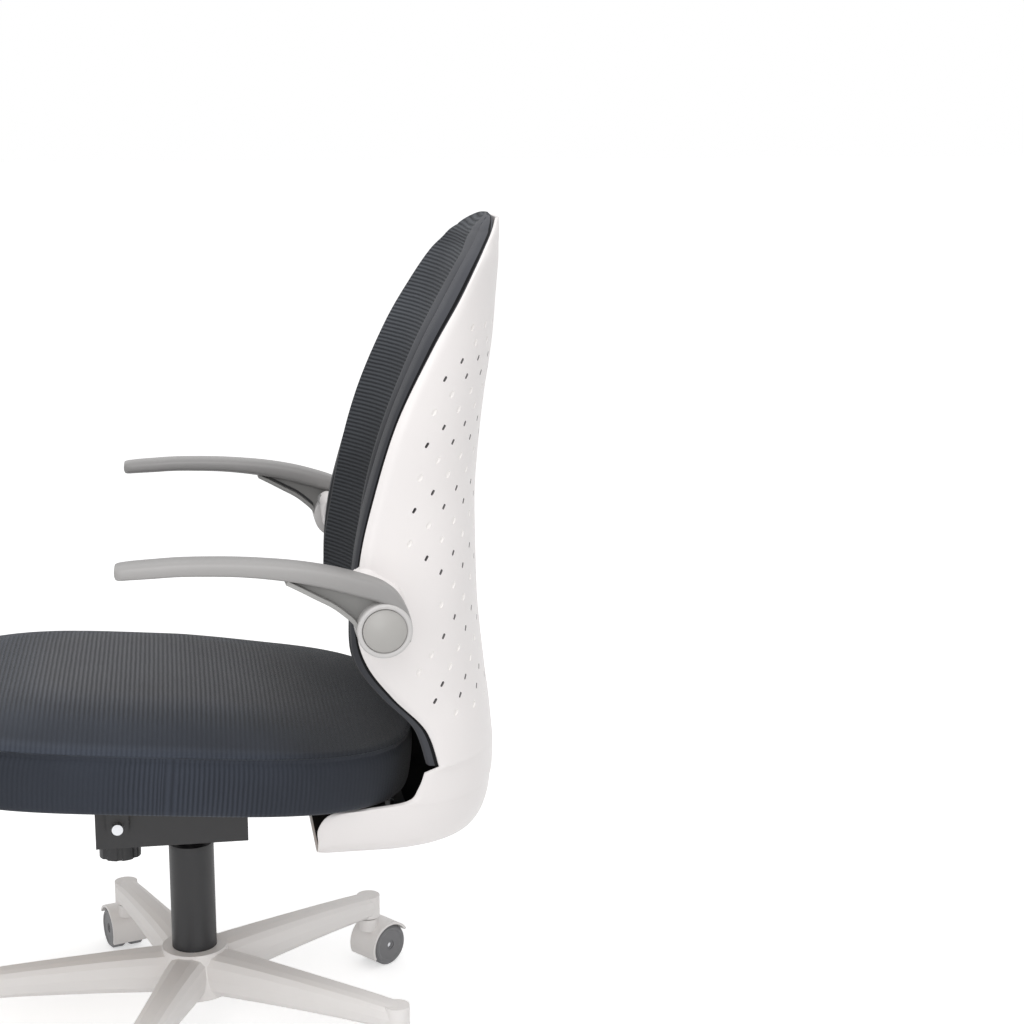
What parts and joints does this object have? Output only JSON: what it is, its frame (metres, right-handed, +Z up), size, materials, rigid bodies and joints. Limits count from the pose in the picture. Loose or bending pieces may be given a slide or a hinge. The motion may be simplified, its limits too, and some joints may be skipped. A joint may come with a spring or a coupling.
{
  "type": "child's swivel desk chair",
  "caption": "Swivel desk chair for a child: wrapped white back shell with a ribbed grey pad, crowned seat cushion, flip-up armrests, tilting seat, gas lift and castors.",
  "frame": {"origin": "on the floor under the chair, on the axis of the gas lift", "axes": "+Z up, the sitter faces -Y, +X is the sitter's left"},
  "size_m": [0.598, 0.6521, 0.923],
  "materials": {
    "white_plastic": "satin warm white",
    "grey_plastic": "satin mid grey",
    "dark_plastic": "fine grain",
    "wheel_plastic": "satin grey tread",
    "black_paint": "powder coat",
    "steel": "bright zinc",
    "lift_steel": "gloss black",
    "black_rubber": "matte",
    "ply": "bare plywood",
    "seat_cloth": "ribbed knit",
    "back_cloth": "ribbed knit",
    "liner_cloth": "smooth dark cloth"
  },
  "bodies": {
    "base": {"star_base": "white_plastic", "outer_tube": "black_paint", "guide_bush": "dark_plastic"},
    "rod": {"piston_rod": "steel", "thrust_bearing": "steel"},
    "column": {"gas_cylinder": "lift_steel", "mech_housing": "black_paint", "tilt_shaft": "steel", "torsion_bushes": "black_rubber"},
    "knob": {"tension_knob": "dark_plastic"},
    "lever": {"height_lever": "steel", "lever_paddle": "dark_plastic"},
    "button": {"release_button": "steel"},
    "seat": {"tilt_plate": "black_paint", "plate_bolts": "steel", "seat_board": "ply", "seat_cushion": "seat_cloth", "back_bracket": "black_paint", "bracket_bolts": "steel", "back_shell": "white_plastic", "back_liner": "liner_cloth", "back_pad": "back_cloth", "stop_pins": "grey_plastic", "pivot_bolt_left": "steel", "pivot_bolt_right": "steel"},
    "armrest_left": {"arm_left": "grey_plastic", "arm_cap_left": "grey_plastic"},
    "armrest_right": {"arm_right": "grey_plastic", "arm_cap_right": "grey_plastic"},
    "castor_1": {"castor_hood_1": "white_plastic", "castor_pins_1": "steel"},
    "wheel_1a": {"wheel_1a": "wheel_plastic"},
    "wheel_1b": {"wheel_1b": "wheel_plastic"},
    "castor_2": {"castor_hood_2": "white_plastic", "castor_pins_2": "steel"},
    "wheel_2a": {"wheel_2a": "wheel_plastic"},
    "wheel_2b": {"wheel_2b": "wheel_plastic"},
    "castor_3": {"castor_hood_3": "white_plastic", "castor_pins_3": "steel"},
    "wheel_3a": {"wheel_3a": "wheel_plastic"},
    "wheel_3b": {"wheel_3b": "wheel_plastic"},
    "castor_4": {"castor_hood_4": "white_plastic", "castor_pins_4": "steel"},
    "wheel_4a": {"wheel_4a": "wheel_plastic"},
    "wheel_4b": {"wheel_4b": "wheel_plastic"},
    "castor_5": {"castor_hood_5": "white_plastic", "castor_pins_5": "steel"},
    "wheel_5a": {"wheel_5a": "wheel_plastic"},
    "wheel_5b": {"wheel_5b": "wheel_plastic"}
  },
  "joints": [
    {"name": "seat_swivel", "type": "hinge", "parent": "base", "child": "rod", "pos_m": [0, 0, 0.2], "axis": [0, 0, 1], "continuous": true},
    {"name": "height_slide", "type": "slide", "parent": "rod", "child": "column", "axis": [0, 0, 1], "range_m": [0, 0.08]},
    {"name": "seat_tilt", "type": "hinge", "parent": "column", "child": "seat", "pos_m": [0, -0.078, 0.275], "axis": [-1, 0, 0], "range_deg": [0, 11], "stiffness_Nm_per_rad": 150, "springref_deg": -17.19},
    {"name": "tension_turn", "type": "hinge", "parent": "column", "child": "knob", "pos_m": [0, -0.078, 0.23], "axis": [0, 0, 1], "range_deg": [-170, 170]},
    {"name": "lever_lift", "type": "hinge", "parent": "column", "child": "lever", "pos_m": [-0.052, 0, 0.286], "axis": [0, 1, 0], "range_deg": [0, 4.5], "stiffness_Nm_per_rad": 1, "springref_deg": -14.32},
    {"name": "button_press", "type": "slide", "parent": "column", "child": "button", "axis": [0, 0, -1], "range_m": [0, 0.005]},
    {"name": "arm_left_flip", "type": "hinge", "parent": "seat", "child": "armrest_left", "pos_m": [0.275, 0.19, 0.545], "axis": [-1, 0, 0], "range_deg": [0, 82]},
    {"name": "arm_right_flip", "type": "hinge", "parent": "seat", "child": "armrest_right", "pos_m": [-0.275, 0.19, 0.545], "axis": [-1, 0, 0], "range_deg": [0, 82]},
    {"name": "castor_1_swivel", "type": "hinge", "parent": "base", "child": "castor_1", "pos_m": [0, -0.262, 0.05], "axis": [0, 0, 1], "continuous": true},
    {"name": "wheel_1a_roll", "type": "hinge", "parent": "castor_1", "child": "wheel_1a", "pos_m": [0, -0.28, 0.025], "axis": [1, 0, 0], "continuous": true},
    {"name": "wheel_1b_roll", "type": "hinge", "parent": "castor_1", "child": "wheel_1b", "pos_m": [0, -0.28, 0.025], "axis": [1, 0, 0], "continuous": true},
    {"name": "castor_2_swivel", "type": "hinge", "parent": "base", "child": "castor_2", "pos_m": [0.24918, -0.08096, 0.05], "axis": [0, 0, 1], "continuous": true},
    {"name": "wheel_2a_roll", "type": "hinge", "parent": "castor_2", "child": "wheel_2a", "pos_m": [0.2663, -0.08653, 0.025], "axis": [0.309, 0.9511, 0], "continuous": true},
    {"name": "wheel_2b_roll", "type": "hinge", "parent": "castor_2", "child": "wheel_2b", "pos_m": [0.2663, -0.08653, 0.025], "axis": [0.309, 0.9511, 0], "continuous": true},
    {"name": "castor_3_swivel", "type": "hinge", "parent": "base", "child": "castor_3", "pos_m": [0.154, 0.21196, 0.05], "axis": [0, 0, 1], "continuous": true},
    {"name": "wheel_3a_roll", "type": "hinge", "parent": "castor_3", "child": "wheel_3a", "pos_m": [0.16458, 0.22653, 0.025], "axis": [-0.809, 0.5878, 0], "continuous": true},
    {"name": "wheel_3b_roll", "type": "hinge", "parent": "castor_3", "child": "wheel_3b", "pos_m": [0.16458, 0.22653, 0.025], "axis": [-0.809, 0.5878, 0], "continuous": true},
    {"name": "castor_4_swivel", "type": "hinge", "parent": "base", "child": "castor_4", "pos_m": [-0.154, 0.21196, 0.05], "axis": [0, 0, 1], "continuous": true},
    {"name": "wheel_4a_roll", "type": "hinge", "parent": "castor_4", "child": "wheel_4a", "pos_m": [-0.16458, 0.22653, 0.025], "axis": [-0.809, -0.5878, 0], "continuous": true},
    {"name": "wheel_4b_roll", "type": "hinge", "parent": "castor_4", "child": "wheel_4b", "pos_m": [-0.16458, 0.22653, 0.025], "axis": [-0.809, -0.5878, 0], "continuous": true},
    {"name": "castor_5_swivel", "type": "hinge", "parent": "base", "child": "castor_5", "pos_m": [-0.24918, -0.08096, 0.05], "axis": [0, 0, 1], "continuous": true},
    {"name": "wheel_5a_roll", "type": "hinge", "parent": "castor_5", "child": "wheel_5a", "pos_m": [-0.2663, -0.08653, 0.025], "axis": [0.309, -0.9511, 0], "continuous": true},
    {"name": "wheel_5b_roll", "type": "hinge", "parent": "castor_5", "child": "wheel_5b", "pos_m": [-0.2663, -0.08653, 0.025], "axis": [0.309, -0.9511, 0], "continuous": true}
  ],
  "couplings": [
    {"joint": "button_press", "follows": "lever_lift", "m_per_rad": 0.055}
  ]
}
